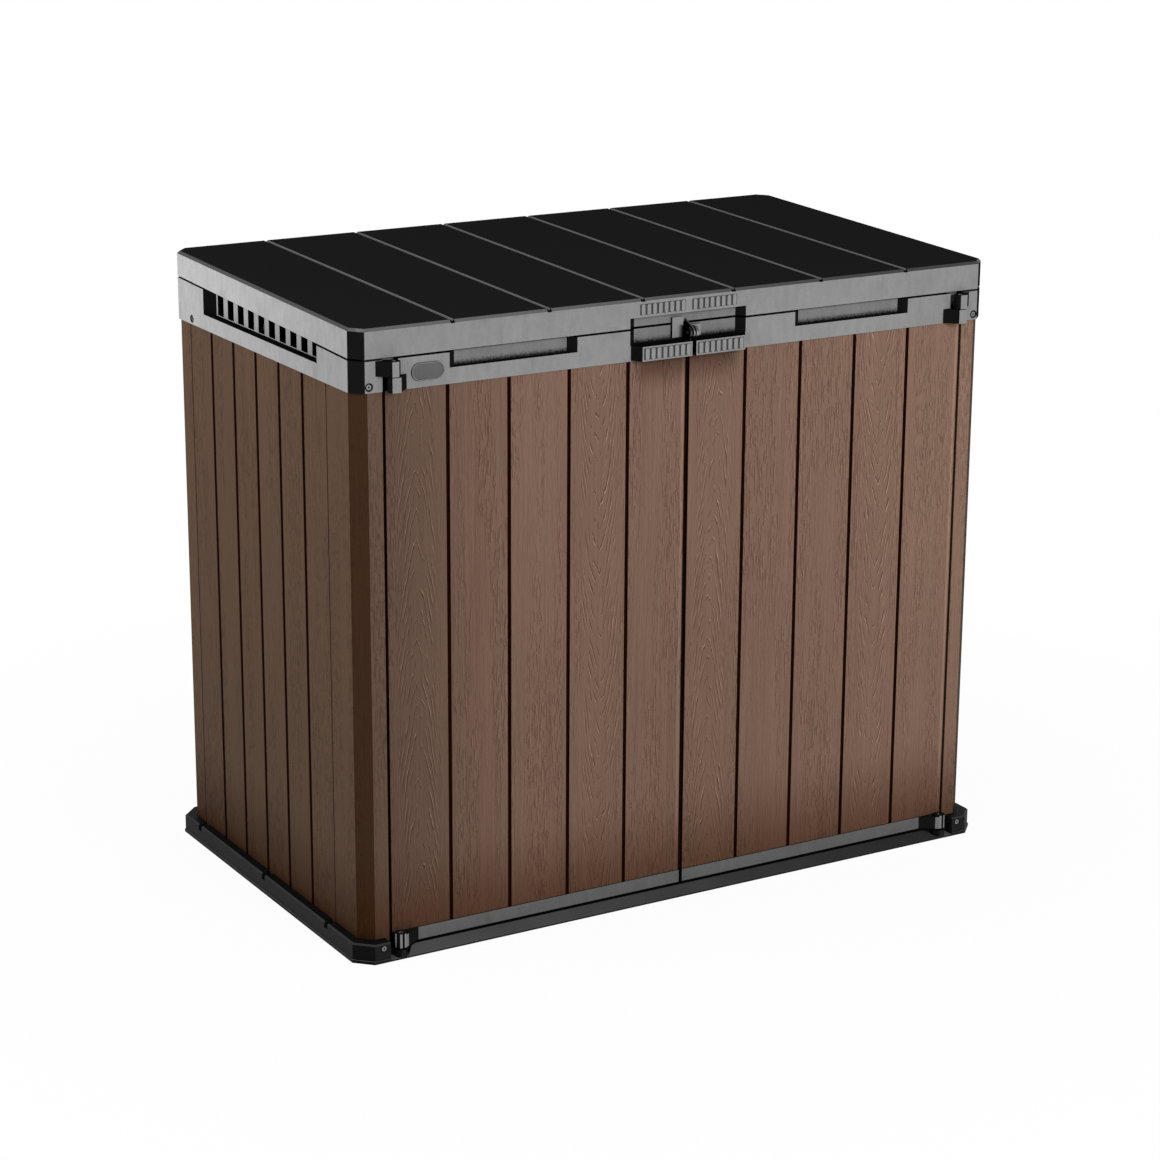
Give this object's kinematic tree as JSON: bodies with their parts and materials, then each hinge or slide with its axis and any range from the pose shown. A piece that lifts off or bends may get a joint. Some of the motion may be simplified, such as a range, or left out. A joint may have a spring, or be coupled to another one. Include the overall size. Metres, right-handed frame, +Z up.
{
  "type": "deck storage box",
  "caption": "Plank-look outdoor storage box with hinged front doors, a sloping lift-up lid on struts, vented collar, finger recesses and a padlock eye.",
  "frame": {"origin": "on the ground, under the middle of the box's outer box", "axes": "+X to the right seen from the front, -Y towards the front with the doors, +Z up"},
  "size_m": [1.446, 0.85, 1.2289],
  "materials": {
    "grey_frame": "grained grey",
    "black_plastic": "matt black",
    "brown_front": "wood grain",
    "brown_side": "wood grain",
    "steel": "zinc plated",
    "rubber": "matt"
  },
  "bodies": {
    "box": {"floor_panel": "black_plastic", "left_base_sill": "black_plastic", "right_base_sill": "black_plastic", "back_base_sill": "black_plastic", "left_wall": "brown_side", "right_wall": "brown_side", "back_wall_left": "brown_side", "back_wall_right": "brown_side", "front_left_post": "brown_front", "front_right_post": "brown_front", "rear_left_post": "brown_front", "rear_right_post": "brown_front", "left_top_rail": "grey_frame", "right_top_rail": "grey_frame", "back_top_rail": "grey_frame", "left_door_upper_pin": "steel", "left_door_lower_pin": "steel", "left_lid_pin": "steel", "front_left_collar_screw": "steel", "side_left_collar_screw": "steel", "left_base_screw": "steel", "left_strut_wall_bracket": "steel", "right_door_upper_pin": "steel", "right_door_lower_pin": "steel", "right_lid_pin": "steel", "front_right_collar_screw": "steel", "side_right_collar_screw": "steel", "right_base_screw": "steel", "right_strut_wall_bracket": "steel"},
    "lid": {"lid_shell": "grey_frame", "lid_lock_eye": "black_plastic", "front_left_bumper": "rubber", "rear_left_bumper": "rubber", "left_strut_lid_bracket": "steel", "front_right_bumper": "rubber", "rear_right_bumper": "rubber", "right_strut_lid_bracket": "steel"},
    "left_door": {"left_door_panel": "brown_front", "left_door_top_rail": "grey_frame", "left_door_bottom_rail": "grey_frame", "left_door_handle": "black_plastic", "left_door_lock_eye": "black_plastic", "left_door_badge_plate": "grey_frame"},
    "left_strut_cylinder": {"left_strut_tube": "black_plastic", "left_strut_tube_eye": "black_plastic"},
    "left_strut_plunger": {"left_strut_rod": "steel", "left_strut_rod_eye": "black_plastic"},
    "right_door": {"right_door_panel": "brown_front", "right_door_top_rail": "grey_frame", "right_door_bottom_rail": "grey_frame", "right_door_handle": "black_plastic", "right_door_lock_eye": "black_plastic"},
    "right_strut_cylinder": {"right_strut_tube": "black_plastic", "right_strut_tube_eye": "black_plastic"},
    "right_strut_plunger": {"right_strut_rod": "steel", "right_strut_rod_eye": "black_plastic"}
  },
  "joints": [
    {"name": "lid_hinge", "type": "hinge", "parent": "box", "child": "lid", "pos_m": [0, 0.411, 1.172], "axis": [-1, 0, 0], "range_deg": [0, 70]},
    {"name": "left_door_hinge", "type": "hinge", "parent": "box", "child": "left_door", "pos_m": [-0.63, -0.413, 0.6], "axis": [0, 0, -1], "range_deg": [0, 155]},
    {"name": "right_door_hinge", "type": "hinge", "parent": "box", "child": "right_door", "pos_m": [0.63, -0.413, 0.6], "axis": [0, 0, 1], "range_deg": [0, 155]},
    {"name": "left_cylinder_pivot", "type": "hinge", "parent": "box", "child": "left_strut_cylinder", "pos_m": [-0.652, 0.28145, 0.84686], "axis": [-1, 0, 0], "range_deg": [0, 35]},
    {"name": "left_plunger_pivot", "type": "hinge", "parent": "lid", "child": "left_strut_plunger", "pos_m": [-0.652, 0.06157, 1.152], "axis": [-1, 0, 0], "range_deg": [-35, 0]},
    {"name": "right_cylinder_pivot", "type": "hinge", "parent": "box", "child": "right_strut_cylinder", "pos_m": [0.652, 0.28145, 0.84686], "axis": [-1, 0, 0], "range_deg": [0, 35]},
    {"name": "right_plunger_pivot", "type": "hinge", "parent": "lid", "child": "right_strut_plunger", "pos_m": [0.652, 0.06157, 1.152], "axis": [-1, 0, 0], "range_deg": [-35, 0]}
  ],
  "couplings": [
    {"joint": "left_cylinder_pivot", "follows": "lid_hinge", "ratio": 0.5},
    {"joint": "left_plunger_pivot", "follows": "lid_hinge", "ratio": -0.5},
    {"joint": "right_cylinder_pivot", "follows": "lid_hinge", "ratio": 0.5},
    {"joint": "right_plunger_pivot", "follows": "lid_hinge", "ratio": -0.5}
  ]
}
